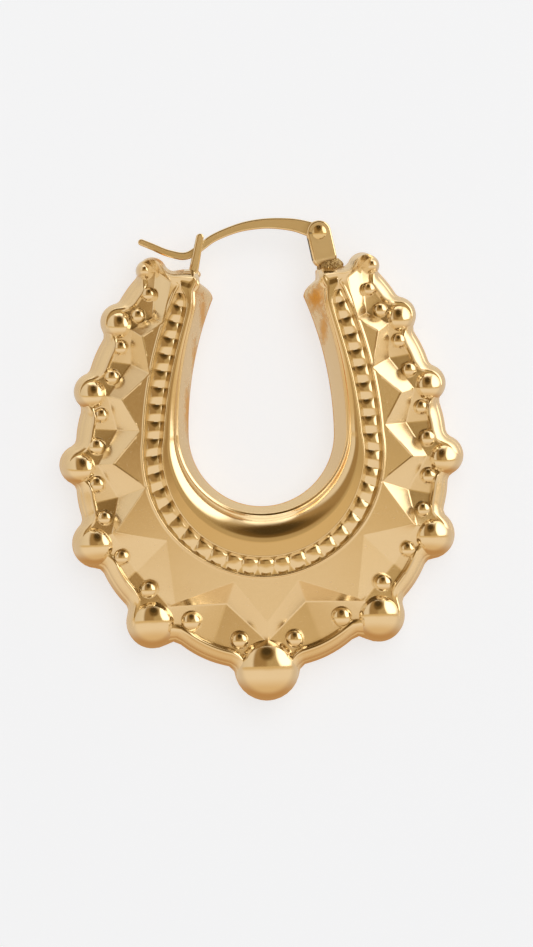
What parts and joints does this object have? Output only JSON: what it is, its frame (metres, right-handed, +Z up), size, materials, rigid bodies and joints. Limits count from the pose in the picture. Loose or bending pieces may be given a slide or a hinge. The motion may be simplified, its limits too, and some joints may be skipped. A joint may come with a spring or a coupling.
{
  "type": "creole earring",
  "caption": "Hollow pressed creole hoop with a milled inner edge, star facets and a beaded rim, with a hinged ear wire that drops into a forked catch.",
  "frame": {"origin": "middle of the earring's footprint on the surface it lies on", "axes": "+Z up out of the hoop's front face, +Y towards the ear wire, +X towards the hinge"},
  "size_m": [0.0406, 0.0483, 0.007],
  "materials": {
    "pressed_gold": "polished pressed gold, finely scuffed",
    "rivet_gold": "polished gold pin",
    "wire_gold": "flattened gold wire, brushed front"
  },
  "bodies": {
    "hoop": {"creole_hoop": "pressed_gold", "hinge_rivet": "rivet_gold"},
    "wire": {"ear_wire": "wire_gold"}
  },
  "joints": [
    {"name": "ear_wire_hinge", "type": "hinge", "parent": "hoop", "child": "wire", "pos_m": [0.0062, 0.02266, 0.0035], "axis": [0, 0, -1], "range_deg": [0, 100]}
  ]
}
